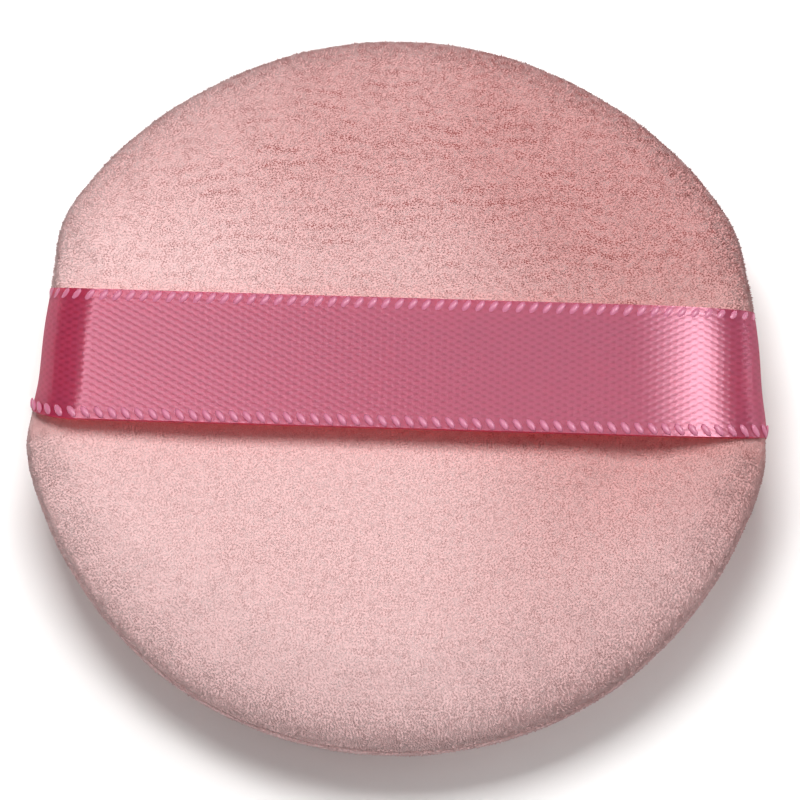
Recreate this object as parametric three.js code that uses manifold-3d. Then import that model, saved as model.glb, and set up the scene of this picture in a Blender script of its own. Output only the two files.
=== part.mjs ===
// A round velour powder puff with a satin finger ribbon, as it is sewn.
// Millimetres, +Z up, the ribbon runs along X, and the origin is the middle of the face that the puff rests on.

import * as THREE from "three";
import { mergeVertices } from "three/addons/utils/BufferGeometryUtils.js";
import Module from "manifold-3d";

const wasm = await Module();
wasm.setup();

// Driving dimensions of the pad
const PAD_DIAMETER = 54;
const PAD_THICKNESS = 10.4;
const SHOULDER_WIDTH = 15;
const SHOULDER_POWER = 2.2; // 2 is an ellipse, and more is a squarer shoulder
const COVER_WALL = 1.2; // knitted ground and pile together
const LIP_RADIUS = 1.0; // the fold where a cover turns in at the seam

// Driving dimensions of the seam
const SEAM_GAP = 0.3;
const SEAM_ALLOWANCE = 3.6; // the turned-in hem of each cover
const HEM_THICKNESS = 0.9; // velour pressed thin in the seam
const STITCH_INSET = 1.7; // from a hem's raw edge to the stitch line
const STITCH_COUNT = 32;
const CLOSING_STITCH_COUNT = 5; // sewn by hand after the puff is turned right side out
const CLOSING_ANGLE = Math.PI / 2; // the hand-sewn stretch is at the back of the puff
const THREAD_DIAMETER = 0.35;
const THREAD_HOOK = 0.4; // how far each thread is pulled past the middle of a needle hole
const THREAD_TAIL = 0.3; // the loose end beside its last hole, in stitches

// Driving dimensions of the ribbon
const RIBBON_WIDTH = 10.2;
const RIBBON_THICKNESS = 0.35;
const RIBBON_GAP = 1.4; // the slack under the middle of the ribbon, where the fingers go in
const RIBBON_SHOULDER = 13.5; // how far in from the edge the ribbon takes to level out
const RIBBON_BEND = 1.0; // the turn from the seam up the puff's edge
const MIDDLE_LENGTH = 10; // the stretch that lifts straight up
const HINGE_ANGLE = THREE.MathUtils.degToRad(58); // where the ribbon starts to lift, up its shoulder curve
const PINCH_DEPTH = 1.0; // how far the taut ribbon draws the puff's edge in at its two ends
const PINCH_SPREAD = 7; // half the length of edge that is drawn in
const PINCH_POWER = 4; // how quickly the pinch fades towards the middle and past its spread
const BOW_LIFT = 3; // how far the taut ribbon bows the puff's two sides up
const BOW_POWER = 2; // the bow grows with the square of the distance outside the level middle

const CLEARANCE = 0.3; // between neighbouring pieces that are not sewn into each other

// How finely the curves are drawn
const ROUND_STEPS = 48;
const SHOULDER_STEPS = 9;
const LIP_STEPS = 3;
const RIBBON_STEPS = 12;
const THREAD_SIDES = 4;

// Sizes that follow from the driving dimensions, with heights taken from the seam plane
const padRadius = PAD_DIAMETER / 2;
const halfThickness = PAD_THICKNESS / 2;
const flatRadius = padRadius - SHOULDER_WIDTH;
const hemRadius = padRadius - LIP_RADIUS - SEAM_ALLOWANCE;
const hemTop = SEAM_GAP / 2 + HEM_THICKNESS;
const stitchRadius = hemRadius + STITCH_INSET;
const stitchPitch = (2 * Math.PI) / STITCH_COUNT;
const ribbonHalf = RIBBON_THICKNESS / 2;
const ribbonReach = padRadius - PINCH_DEPTH + CLEARANCE + ribbonHalf;
const ribbonStraight = ribbonReach - RIBBON_SHOULDER;
const ribbonHeight = halfThickness + RIBBON_GAP + ribbonHalf;

// Materials, in the colours of the photographed puff
const velour = new THREE.MeshStandardMaterial({ color: 0xe6b8b6, roughness: 0.95, metalness: 0 });
const satin = new THREE.MeshStandardMaterial({ color: 0xc96583, roughness: 0.4, metalness: 0 });
const foam = new THREE.MeshStandardMaterial({ color: 0xf4ead9, roughness: 0.95, metalness: 0 });
const thread = new THREE.MeshStandardMaterial({ color: 0xe3a6a8, roughness: 0.6, metalness: 0 });

// A closed geometry as a solid, for cutting.
function solidOf(geometry) {
  const bare = geometry.clone();
  bare.deleteAttribute("normal");
  bare.deleteAttribute("uv");
  const merged = mergeVertices(bare);
  const corners = merged.index.array;
  const kept = [];
  for (let i = 0; i < corners.length; i += 3) {
    const [a, b, c] = corners.slice(i, i + 3);
    if (a !== b && b !== c && c !== a) kept.push(a, b, c);
  }
  const vertProperties = merged.attributes.position.array;
  return new wasm.Manifold(new wasm.Mesh({ numProp: 3, vertProperties, triVerts: new Uint32Array(kept) }));
}

// A solid back as a geometry for a mesh.
function geometryOf(solid) {
  const mesh = solid.getMesh();
  const geometry = new THREE.BufferGeometry();
  geometry.setAttribute("position", new THREE.BufferAttribute(mesh.vertProperties, 3));
  geometry.setIndex(new THREE.BufferAttribute(mesh.triVerts, 1));
  geometry.computeVertexNormals();
  return geometry;
}

// Points down a pillow shoulder, from its level top at flatRadius to its widest point.
function shoulder(widest, bottom, top) {
  return Array.from({ length: SHOULDER_STEPS + 1 }, (_, i) => {
    const angle = (Math.PI / 2) * (1 - i / SHOULDER_STEPS);
    const across = Math.max(Math.cos(angle), 0) ** (2 / SHOULDER_POWER);
    const up = Math.sin(angle) ** (2 / SHOULDER_POWER);
    return new THREE.Vector2(flatRadius + (widest - flatRadius) * across, bottom + (top - bottom) * up);
  });
}

// Where a point of the puff lies along X once the ribbon has drawn the edge in.
function drawnIn(x, y) {
  const nearEdge = (Math.abs(x) / padRadius) ** PINCH_POWER;
  const nearRibbon = Math.exp(-((y / PINCH_SPREAD) ** PINCH_POWER));
  return x - Math.sign(x) * PINCH_DEPTH * nearEdge * nearRibbon;
}

// How far a point of the puff is lifted where the ribbon bows its sides up.
function bowedUp(x) {
  const outside = Math.max(Math.abs(x) - flatRadius, 0) / SHOULDER_WIDTH;
  return BOW_LIFT * outside ** BOW_POWER;
}

// A profile of (radius, height) points turned about Z and drawn in at the ribbon.
// The profile is given from its top outwards, and the lathe takes it from its end.
function turned(profile) {
  const geometry = new THREE.LatheGeometry(profile.toReversed(), ROUND_STEPS).rotateX(Math.PI / 2);
  const places = geometry.attributes.position;
  for (let i = 0; i < places.count; i++) places.setX(i, drawnIn(places.getX(i), places.getY(i)));
  return geometry;
}

// One cover above the seam plane: crown, shoulder, rolled lip and the hem that is turned inside.
function coverProfile() {
  const lipCentre = new THREE.Vector2(padRadius - LIP_RADIUS, SEAM_GAP / 2 + LIP_RADIUS);
  const lip = Array.from({ length: LIP_STEPS }, (_, i) => {
    const angle = (-(i + 1) / LIP_STEPS) * (Math.PI / 2);
    const out = new THREE.Vector2(Math.cos(angle), Math.sin(angle));
    return lipCentre.clone().addScaledVector(out, LIP_RADIUS);
  });
  return [
    new THREE.Vector2(0, halfThickness),
    ...shoulder(padRadius, lipCentre.y, halfThickness),
    ...lip,
    new THREE.Vector2(hemRadius, SEAM_GAP / 2),
    new THREE.Vector2(hemRadius, hemTop),
    ...shoulder(padRadius - COVER_WALL, hemTop, halfThickness - COVER_WALL).reverse(),
    new THREE.Vector2(0, halfThickness - COVER_WALL),
  ];
}

// The foam disc: it fills the covers from crown to crown and stops short of their hems.
function coreProfile() {
  const radius = hemRadius - CLEARANCE;
  const top = halfThickness - COVER_WALL - CLEARANCE;
  const curve = shoulder(padRadius - COVER_WALL - CLEARANCE, hemTop, top).filter((p) => p.x < radius);
  const upper = [new THREE.Vector2(0, top), ...curve];
  const last = upper[upper.length - 1];
  const rim = new THREE.Vector2(radius, last.y - (radius - last.x));
  upper.push(rim);
  const lower = upper.map((p) => new THREE.Vector2(p.x, -p.y)).reverse();
  return [...upper, ...lower];
}

// The line of the ribbon's middle thickness at +X, from a hem's raw edge out of the seam and up to the hinge.
function ribbonEndLine() {
  const bendCentre = new THREE.Vector2(ribbonReach - RIBBON_BEND, RIBBON_BEND);
  const points = [new THREE.Vector2(hemRadius, 0)];
  for (let i = 0; i < RIBBON_STEPS / 2; i++) {
    const angle = -(Math.PI / 2) * (1 - i / (RIBBON_STEPS / 2));
    const out = new THREE.Vector2(Math.cos(angle), Math.sin(angle));
    points.push(bendCentre.clone().addScaledVector(out, RIBBON_BEND));
  }
  return [...points, ...ribbonShoulder(0, HINGE_ANGLE)];
}

// Points up the ribbon's shoulder curve between two angles: 0 is upright at the edge, 90 degrees is level.
function ribbonShoulder(from, to) {
  return Array.from({ length: RIBBON_STEPS + 1 }, (_, i) => {
    const angle = from + ((to - from) * i) / RIBBON_STEPS;
    return new THREE.Vector2(
      ribbonStraight + RIBBON_SHOULDER * Math.cos(angle),
      RIBBON_BEND + (ribbonHeight - RIBBON_BEND) * Math.sin(angle),
    );
  });
}

// The lifting stretch beside the middle: the rest of the shoulder curve and the level run.
function ribbonRunLine() {
  const rise = (ribbonHeight - RIBBON_BEND) * Math.cos(HINGE_ANGLE);
  const gapAngle = CLEARANCE / Math.hypot(rise, RIBBON_SHOULDER * Math.sin(HINGE_ANGLE));
  const inner = new THREE.Vector2(MIDDLE_LENGTH / 2 + CLEARANCE, ribbonHeight);
  return [...ribbonShoulder(HINGE_ANGLE + gapAngle, Math.PI / 2), inner];
}

// A strip of ribbon along a line in XZ, as wide as the ribbon along Y.
function strip(line) {
  const side = (i, sign) => {
    const before = line[Math.max(i - 1, 0)];
    const after = line[Math.min(i + 1, line.length - 1)];
    const along = after.clone().sub(before).normalize();
    return line[i].clone().add(new THREE.Vector2(-along.y, along.x).multiplyScalar(sign * ribbonHalf));
  };
  const left = line.map((_, i) => side(i, 1));
  const right = line.map((_, i) => side(i, -1)).reverse();
  const outline = new THREE.Shape([...left, ...right]);
  const geometry = new THREE.ExtrudeGeometry(outline, { depth: RIBBON_WIDTH, bevelEnabled: false });
  return geometry.rotateX(Math.PI / 2).translate(0, RIBBON_WIDTH / 2, 0);
}

// Where the threads lie on the hems and turn down into the needle holes
const threadLevel = hemTop + CLEARANCE + THREAD_DIAMETER / 2;
const holeAcross = 2 * (THREAD_HOOK + THREAD_DIAMETER / 2 + CLEARANCE);
const holeAlong = holeAcross + 2 * THREAD_HOOK;
const hookAngle = THREAD_HOOK / stitchRadius;
const dipAngle = 2 * hookAngle; // where a thread leaves its hem and turns down into the hole
const needleHoleAngle = (k) => CLOSING_ANGLE + (k - (CLOSING_STITCH_COUNT - 1) / 2) * stitchPitch;

// A point at an angle round the puff.
function around(angle, radius, height) {
  const y = radius * Math.sin(angle);
  return new THREE.Vector3(drawnIn(radius * Math.cos(angle), y), y, height);
}

// A path of straight lengths that is followed point by point.
class ThreadPath extends THREE.Curve {
  constructor(points) {
    super();
    this.points = points;
  }

  getUtoTmapping(u) {
    return u;
  }

  getPoint(t, target = new THREE.Vector3()) {
    const place = THREE.MathUtils.clamp(t, 0, 1) * (this.points.length - 1);
    const i = Math.min(Math.floor(place), this.points.length - 2);
    return target.lerpVectors(this.points[i], this.points[i + 1], place - i);
  }
}

// A thread along its points, with a flat-sided section.
function threadAlong(points) {
  const corner = (_, i) => {
    const angle = ((i + 0.5) / THREAD_SIDES) * 2 * Math.PI;
    return new THREE.Vector2(Math.cos(angle), Math.sin(angle)).multiplyScalar(THREAD_DIAMETER / 2);
  };
  const section = new THREE.Shape(Array.from({ length: THREAD_SIDES }, corner));
  const path = new ThreadPath(points);
  return new THREE.ExtrudeGeometry(section, { steps: points.length - 1, extrudePath: path });
}

// One thread of the lockstitch. It lies on its own hem, the upper one for side 1,
// and dips into each needle hole, where it hooks round the other thread.
function lockstitchPoints(side) {
  const tail = THREAD_TAIL * stitchPitch;
  const points = [around(needleHoleAngle(CLOSING_STITCH_COUNT) - tail, stitchRadius, side * threadLevel)];
  for (let k = CLOSING_STITCH_COUNT; k < STITCH_COUNT; k++) {
    const hole = needleHoleAngle(k);
    points.push(
      around(hole - dipAngle, stitchRadius - side * THREAD_HOOK, side * threadLevel),
      around(hole - hookAngle, stitchRadius - side * THREAD_HOOK, 0),
      around(hole, stitchRadius, -side * THREAD_HOOK),
      around(hole + hookAngle, stitchRadius + side * THREAD_HOOK, 0),
      around(hole + dipAngle, stitchRadius + side * THREAD_HOOK, side * threadLevel),
    );
  }
  points.push(around(needleHoleAngle(STITCH_COUNT - 1) + tail, stitchRadius, side * threadLevel));
  return points;
}

// The hand-sewn closing thread: it passes through one hole after another, above one stitch and below the next.
function closingPoints() {
  const tail = THREAD_TAIL * stitchPitch;
  const sideBefore = (k) => (k % 2 ? -1 : 1);
  const points = [around(needleHoleAngle(0) - tail, stitchRadius, threadLevel)];
  for (let k = 0; k < CLOSING_STITCH_COUNT; k++) {
    const hole = needleHoleAngle(k);
    points.push(
      around(hole - hookAngle, stitchRadius, sideBefore(k) * threadLevel),
      around(hole + hookAngle, stitchRadius, sideBefore(k + 1) * threadLevel),
    );
  }
  const last = needleHoleAngle(CLOSING_STITCH_COUNT - 1) + tail;
  points.push(around(last, stitchRadius, sideBefore(CLOSING_STITCH_COUNT) * threadLevel));
  return points;
}

// All the needle holes as one cutter, right through both hems and the ribbon's ends.
function needleHoles() {
  const height = 2 * (hemTop + CLEARANCE);
  const cutters = Array.from({ length: STITCH_COUNT }, (_, k) => {
    const angle = needleHoleAngle(k);
    const box = new THREE.BoxGeometry(holeAcross, holeAlong, height).rotateZ(angle);
    return solidOf(box.translate(...around(angle, stitchRadius, 0)));
  });
  return cutters.reduce((all, cutter) => all.add(cutter));
}

// The two places where a ribbon end lies between the hems and presses the pile down.
function ribbonSlots() {
  const length = 2 * (padRadius + LIP_RADIUS);
  const slot = new THREE.BoxGeometry(
    length,
    RIBBON_WIDTH + 2 * CLEARANCE,
    RIBBON_THICKNESS + 2 * CLEARANCE,
  );
  return solidOf(slot);
}

// Assembly, with the seam plane at half the pad's thickness
const puff = new THREE.Group();
const seam = new THREE.Group();
seam.position.z = halfThickness;
puff.add(seam);

// Each piece is made level and then bowed up with the whole puff.
function add(name, geometry, material) {
  const places = geometry.attributes.position;
  for (let i = 0; i < places.count; i++) places.setZ(i, places.getZ(i) + bowedUp(places.getX(i)));
  geometry.computeVertexNormals();
  const mesh = new THREE.Mesh(geometry, material);
  mesh.name = name;
  seam.add(mesh);
}

const holes = needleHoles();
const slots = ribbonSlots();
const cover = (turn) => solidOf(turned(coverProfile()).rotateX(turn)).subtract(holes).subtract(slots);
add("back_cover", geometryOf(cover(0)), velour);
add("face_cover", geometryOf(cover(Math.PI)), velour);
add("foam_core", turned(coreProfile()), foam);

const ribbonEnd = (turn) => solidOf(strip(ribbonEndLine()).rotateZ(turn)).subtract(holes);
const ribbonRun = (turn) => strip(ribbonRunLine()).rotateZ(turn);
const halfMiddle = MIDDLE_LENGTH / 2;
const middleLine = [new THREE.Vector2(halfMiddle, ribbonHeight), new THREE.Vector2(-halfMiddle, ribbonHeight)];
add("ribbon_right_end", geometryOf(ribbonEnd(0)), satin);
add("ribbon_right_run", ribbonRun(0), satin);
add("ribbon_middle", strip(middleLine), satin);
add("ribbon_left_run", ribbonRun(Math.PI), satin);
add("ribbon_left_end", geometryOf(ribbonEnd(Math.PI)), satin);

add("seam_needle_thread", threadAlong(lockstitchPoints(1)), thread);
add("seam_bobbin_thread", threadAlong(lockstitchPoints(-1)), thread);
add("closing_thread", threadAlong(closingPoints()), thread);

export default puff;
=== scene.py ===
import math

import bpy
import numpy as np
from mathutils import Matrix, Vector


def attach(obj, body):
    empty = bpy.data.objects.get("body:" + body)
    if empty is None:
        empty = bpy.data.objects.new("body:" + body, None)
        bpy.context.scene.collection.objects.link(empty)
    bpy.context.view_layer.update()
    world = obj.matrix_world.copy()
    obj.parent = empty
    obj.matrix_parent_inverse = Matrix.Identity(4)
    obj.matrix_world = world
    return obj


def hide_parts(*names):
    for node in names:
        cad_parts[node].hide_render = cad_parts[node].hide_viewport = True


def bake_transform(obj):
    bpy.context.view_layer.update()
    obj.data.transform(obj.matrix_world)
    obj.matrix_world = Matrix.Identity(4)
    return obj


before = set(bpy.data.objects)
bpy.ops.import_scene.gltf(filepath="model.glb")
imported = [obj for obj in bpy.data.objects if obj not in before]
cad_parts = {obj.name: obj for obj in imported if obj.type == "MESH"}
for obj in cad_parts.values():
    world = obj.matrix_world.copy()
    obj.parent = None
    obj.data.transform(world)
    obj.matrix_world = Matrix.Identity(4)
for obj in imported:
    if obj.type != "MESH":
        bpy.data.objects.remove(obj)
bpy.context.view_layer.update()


# Foam core
# A die-cut disc of soft polyurethane foam that fills the puff from crown to crown.
# It lies loose inside the covers and stops short of their turned-in hems.
MM = 0.001
PAD_RADIUS = 27.0
SEAM_HEIGHT = 5.2  # the seam plane, at half the pad's thickness
FLAT_RADIUS = 12.0
SHOULDER_POWER = 2.2
PINCH_DEPTH = {-1: 1.5, 1: 1.0}  # how far the ribbon draws the edge in at its left and right end
PINCH_CENTRE = {-1: 3.0, 1: 4.0}
PINCH_SPREAD = 7.0
BOW_LIFT = 3.0  # how far the ribbon bows the two sides up
CORE_RADIUS = 22.0
CORE_TOP = 3.6
CORE_RIM = 0.6
CORE_SHOULDER = (25.2, 1.05)  # where the core's shoulder would end if the disc were not cut off before it


def drawn_in(x, y):
    """X of points of the puff once the ribbon has drawn its edge in, in millimetres."""
    pull = np.zeros_like(x)
    for side in (-1, 1):
        near_ribbon = np.exp(-(((y - PINCH_CENTRE[side]) / PINCH_SPREAD) ** 4))
        near_edge = (np.clip(side * x, 0, None) / PAD_RADIUS) ** 4
        pull += side * PINCH_DEPTH[side] * near_edge * near_ribbon
    return x - pull


def bowed_up(x):
    """How far the ribbon lifts points of the puff outside its level middle."""
    return BOW_LIFT * (np.clip(np.abs(x) - FLAT_RADIUS, 0, None) / (PAD_RADIUS - FLAT_RADIUS)) ** 2


def shoulder(widest, bottom, top, steps):
    """Points (radius, height) down a pillow shoulder, from its level top to its widest point."""
    angle = np.linspace(math.pi / 2, 0, steps)
    across = np.clip(np.cos(angle), 0, 1) ** (2 / SHOULDER_POWER)
    up = np.sin(angle) ** (2 / SHOULDER_POWER)
    return np.stack([FLAT_RADIUS + (widest - FLAT_RADIUS) * across, bottom + (top - bottom) * up], -1)


def turned(profile, steps):
    """A profile of (radius, height) points turned about the puff's axis, as rows of points of the shaped puff."""
    ring = np.linspace(0, 2 * math.pi, steps, endpoint=False)
    y = np.outer(profile[:, 0], np.sin(ring))
    x = drawn_in(np.outer(profile[:, 0], np.cos(ring)), y)
    return np.stack([x, y, profile[:, 1:] + SEAM_HEIGHT + bowed_up(x)], -1)


def round_mesh(name, rows, closed=True):
    """A mesh over rows of points round the axis. Its first row is one point, and its last too if it is closed."""
    steps = rows.shape[1]
    inner = rows[1:-1] if closed else rows[1:]
    here = np.arange(inner.shape[0] * steps).reshape(inner.shape[:2])
    beside = np.roll(here, -1, axis=1)
    quads = np.stack([here[:-1], here[1:], beside[1:], beside[:-1]], -1).reshape(-1, 4)
    points = [inner.reshape(-1, 3), rows[0][:1]]
    fans = [np.stack([np.full(steps, here.size), here[0], beside[0]], -1)]
    if closed:
        points.append(rows[-1][:1])
        fans.append(np.stack([np.full(steps, here.size + 1), beside[-1], here[-1]], -1))
    mesh = bpy.data.meshes.new(name)
    mesh.from_pydata((np.concatenate(points) * MM).tolist(), [], quads.tolist() + np.concatenate(fans).tolist())
    mesh.shade_smooth()
    return mesh


def piece(name, mesh, *materials):
    """A mesh as an object of the scene, with its materials."""
    made = bpy.data.objects.new(name, mesh)
    bpy.context.scene.collection.objects.link(made)
    for material in materials:
        mesh.materials.append(material)
    return made


def colour(hex_code):
    """An sRGB hex colour as linear RGBA."""
    parts = [int(hex_code[i : i + 2], 16) / 255 for i in (1, 3, 5)]
    return [c / 12.92 if c <= 0.04045 else ((c + 0.055) / 1.055) ** 2.4 for c in parts] + [1.0]


def add_node(tree, kind, inputs=None, **settings):
    """A node of a tree, with its settings and with each input set or linked."""
    made = tree.nodes.new(kind)
    for key, value in settings.items():
        setattr(made, key, value)
    for key, value in (inputs or {}).items():
        if isinstance(value, bpy.types.NodeSocket):
            tree.links.new(value, made.inputs[key])
        else:
            made.inputs[key].default_value = value
    return made


def new_material(name):
    """An empty material and its node tree."""
    material = bpy.data.materials.new(name)
    material.use_nodes = True
    material.node_tree.nodes.clear()
    return material, material.node_tree


# Open-cell polyurethane foam: matt and pale, with cells of about 0.4 mm that read as a fine pitted surface,
# painted darker in the pits as shade.
foam, tree = new_material("polyurethane_foam")
place = add_node(tree, "ShaderNodeTexCoord")
cells = add_node(tree, "ShaderNodeTexVoronoi", {"Vector": place.outputs["Object"], "Scale": 1 / (0.4 * MM)})
pits = add_node(
    tree,
    "ShaderNodeBump",
    {"Strength": 0.6, "Distance": 0.15 * MM, "Height": cells.outputs["Distance"]},
)
# Painted shade: darker towards the bottom of each pit.
tint = add_node(
    tree,
    "ShaderNodeMix",
    {0: cells.outputs["Distance"], 6: colour("#d9c8ac"), 7: colour("#f6eddc")},
    data_type="RGBA",
)
surface = add_node(
    tree,
    "ShaderNodeBsdfPrincipled",
    {"Base Color": tint.outputs[2], "Roughness": 0.95, "Normal": pits.outputs["Normal"]},
)
add_node(tree, "ShaderNodeOutputMaterial", {"Surface": surface.outputs["BSDF"]})

curve = shoulder(*CORE_SHOULDER, CORE_TOP, 24)
curve = curve[curve[:, 0] < CORE_RADIUS - CORE_RIM]
angle = np.linspace(math.pi / 4, 0, 5)
rim = np.stack([np.cos(angle), np.sin(angle)], -1) * CORE_RIM + (CORE_RADIUS - CORE_RIM, curve[-1][1] - CORE_RIM)
upper = np.concatenate([[(0, CORE_TOP)], curve, rim])
disc = np.concatenate([upper, upper[::-1] * (1, -1)])
foam_disc = piece("foam_disc", round_mesh("foam_disc", turned(disc, 96)), foam)
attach(foam_disc, "pad")
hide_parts("foam_core")


# Velour covers
# Two discs of pink cut-pile velour, sewn together round the edge and turned right side out,
# so each has a crowned outside, a rolled lip at the seam and a hem that lies inside.
COVER_WALL = 1.0
PILE_DEPTH = 0.15  # the closed body of the pile lies this far below its free tips
LIP_RADIUS = 0.6
LIP_FULLNESS = 0.8  # the lip starts this much wider, because smoothing draws it in
HEM_RADIUS = 22.4
HEM_WIDTH = 1.5  # the stretch of the hem that lies flat at the seam
HEM_TOP = 1.05
SEAM_GAP = 0.1
ROUND_STEPS = 128
STITCH_COUNT = 32
STITCH_RADIUS = 24.1
PRESSED_IN = 0.25  # the covers start this much flatter, and the foam presses them out
PRESS_LIMIT = 0.5  # no point of a cover is pressed out further than this
SIM_SCALE = 20  # cloth settles better at the size of a seat cushion
SIM_STEPS = 20
SIM_PRESSURE = 4
# Each hollow runs round part of the back cover: its radius and half width, the middle and half length of its angle,
# and its depth.
HOLLOWS = [(19.5, 2.6, 52, 34, 0.55), (18.5, 2.4, -22, 12, 0.4), (20.5, 2.2, 158, 14, 0.35)]


def cover_outside():
    """The profile of one cover outside the seam, from the middle of its crown to under the lip."""
    radius = PAD_RADIUS - PILE_DEPTH + LIP_FULLNESS
    top = SEAM_HEIGHT - PILE_DEPTH - PRESSED_IN
    lip_centre = (radius - LIP_RADIUS, SEAM_GAP + LIP_RADIUS)
    angle = np.linspace(0, -math.pi / 2, 7)[1:]
    lip = np.stack([np.cos(angle), np.sin(angle)], -1) * LIP_RADIUS + lip_centre
    crown = np.stack([np.linspace(0, FLAT_RADIUS, 9, endpoint=False), np.full(9, top)], -1)
    return np.concatenate([crown, shoulder(radius, lip_centre[1], top, 28), lip])


def dented(rows):
    """Rows of the back cover with the soft hollows that the ribbon's pull leaves beside its ends."""
    x, y, z = np.moveaxis(rows, -1, 0)
    reach, angle = np.hypot(x, y), np.degrees(np.arctan2(y, x))
    depth = np.zeros_like(z)
    for ring, wide, middle, spread, deep in HOLLOWS:
        depth += deep * np.exp(-(((reach - ring) / wide) ** 2) - ((angle - middle) / spread) ** 4)
    return np.stack([x, y, z - depth], -1)


def pressed_out(rows):
    """Rows of a cover's outside once the foam has pressed it out between the stitches, by cloth simulation."""
    steps = rows.shape[1]
    holder = piece("pressed", round_mesh("pressed", rows * SIM_SCALE, closed=False))
    sewn = holder.vertex_groups.new(name="sewn")
    first_lip = (len(rows) - 4) * steps
    at_stitch = np.arange(steps) % (steps // STITCH_COUNT) == 0
    loose = np.arange(first_lip, first_lip + 3 * steps).reshape(3, steps)
    sewn.add(loose[:, at_stitch].ravel().tolist() + loose[2].tolist(), 1.0, "ADD")
    cloth = holder.modifiers.new("pressed", "CLOTH")
    cloth.settings.vertex_group_mass = "sewn"
    cloth.settings.quality = 6
    cloth.settings.mass = 0.3
    cloth.settings.tension_stiffness = 30
    cloth.settings.compression_stiffness = 30
    cloth.settings.shear_stiffness = 10
    cloth.settings.bending_stiffness = 2
    cloth.settings.use_pressure = True
    cloth.settings.uniform_pressure_force = SIM_PRESSURE
    cloth.settings.effector_weights.gravity = 0
    cloth.collision_settings.use_collision = False
    start = np.zeros(len(holder.data.vertices) * 3, np.float32)
    holder.data.vertices.foreach_get("co", start)
    for step in range(1, SIM_STEPS + 1):
        bpy.context.scene.frame_set(step)
    settled = holder.evaluated_get(bpy.context.evaluated_depsgraph_get()).data
    end = np.zeros_like(start)
    settled.vertices.foreach_get("co", end)
    moved = (end - start).reshape(-1, 3) / MM / SIM_SCALE
    far = np.linalg.norm(moved, axis=1)[:, None]
    moved *= np.minimum(1, PRESS_LIMIT / np.maximum(far, 1e-6))
    mesh = holder.data
    bpy.data.objects.remove(holder)
    bpy.data.meshes.remove(mesh)
    bpy.context.scene.frame_set(1)
    pole, rest = moved[-1], moved[:-1].reshape(len(rows) - 1, steps, 3)
    return rows + np.concatenate([np.broadcast_to(pole, (1, steps, 3)), rest])


def cover_rows(outside):
    """Rows of one cover as a closed shell: its pressed-out outside, the hem and the inside."""
    top = SEAM_HEIGHT - PILE_DEPTH - PRESSED_IN - COVER_WALL
    hem_start = HEM_RADIUS + HEM_WIDTH
    hem = [(hem_start, SEAM_GAP), (HEM_RADIUS, SEAM_GAP), (HEM_RADIUS, HEM_TOP), (hem_start, HEM_TOP)]
    inside = shoulder(PAD_RADIUS - PILE_DEPTH - COVER_WALL, HEM_TOP, top, 14)[::-1]
    inner = turned(np.concatenate([hem, inside, [(0, top)]]), ROUND_STEPS)
    return np.concatenate([outside, inner])


def turned_over(rows):
    """The same rows on the other side of the seam: the bow stays, and the height above it is turned down."""
    x, y, z = np.moveaxis(rows, -1, 0)
    level = SEAM_HEIGHT + bowed_up(x)
    return np.stack([x, y, 2 * level - z], -1)


def flipped(mesh):
    """A mesh turned over by its rows, with its faces outward again."""
    mesh.flip_normals()
    return mesh


def subdivided(mesh, levels):
    """A mesh smoothed by subdivision, as a new plain mesh in its place."""
    holder = piece("smooth", mesh)
    modifier = holder.modifiers.new("smooth", "SUBSURF")
    modifier.levels = modifier.render_levels = levels
    depsgraph = bpy.context.evaluated_depsgraph_get()
    smooth = bpy.data.meshes.new_from_object(holder.evaluated_get(depsgraph), depsgraph=depsgraph)
    bpy.data.objects.remove(holder)
    name = mesh.name
    bpy.data.meshes.remove(mesh)
    smooth.name = name
    return smooth


def eased(t):
    """A soft step from 0 to 1 as t goes from 0 to 1."""
    t = np.clip(t, 0, 1)
    return t * t * (3 - 2 * t)


def stored(mesh, name, value_of):
    """Stores on a mesh one value or vector for each point, worked out from its X and Y in millimetres."""
    co = np.zeros(len(mesh.vertices) * 3, np.float32)
    mesh.vertices.foreach_get("co", co)
    x, y, _ = (co.reshape(-1, 3) / MM).T
    values = value_of(x, y).astype(np.float32)
    kind, field = ("FLOAT", "value") if values.ndim == 1 else ("FLOAT_VECTOR", "vector")
    mesh.attributes.new(name, kind, "POINT").data.foreach_set(field, values.ravel())
    return mesh


def painted_shading(x, y):
    """How pale the pile is painted, as painted light and shade: lighter on the left and at the front rim,
    darker at the back and on the right, and darkest under the ribbon's front edge.
    The pile itself is brushed towards the front left."""
    behind, right, front = (eased(t) for t in ((y - 2) / 17, x / 15, (-y - 6) / 10))
    left = eased((-x - 4) / 12) * eased(y / 6)
    edge = eased((np.hypot(x, y) / PAD_RADIUS - 0.6) / 0.35)
    # Painted shade where the ribbon's front edge overhangs the pile.
    pressed = eased((y + 6.2) / 0.8) * eased((4.8 - y) / 0.8)
    # Painted light on the left and at the front rim, painted shade at the back and on the right.
    pale = 0.83 - 0.65 * behind - 0.62 * right * (1 - 0.4 * front) + 0.32 * left + 0.28 * front * edge
    return np.clip(pale - 0.45 * pressed, 0, 1)


# Cotton velour: a knitted ground under dense cut pile. It gives a matt, soft pink with fine speckle from the cut
# ends.
# Its tone follows the painted light and shade stored on the cloth,
# and the speckle is painted a little darker in its hollows, as shade between the tufts.
velour, tree = new_material("cotton_velour")
place = add_node(tree, "ShaderNodeTexCoord")
# Painted light and shade: the tone goes from deep to pale by the stored painted shading.
pale = add_node(tree, "ShaderNodeAttribute", attribute_name="painted_shading")
tone = add_node(
    tree,
    "ShaderNodeMix",
    {0: pale.outputs["Fac"], 6: colour("#cf9896"), 7: colour("#f0c8c7")},
    data_type="RGBA",
)
speckle = add_node(
    tree,
    "ShaderNodeTexNoise",
    {"Vector": place.outputs["Object"], "Scale": 1 / (0.22 * MM), "Detail": 3.0, "Roughness": 0.6},
)
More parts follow.
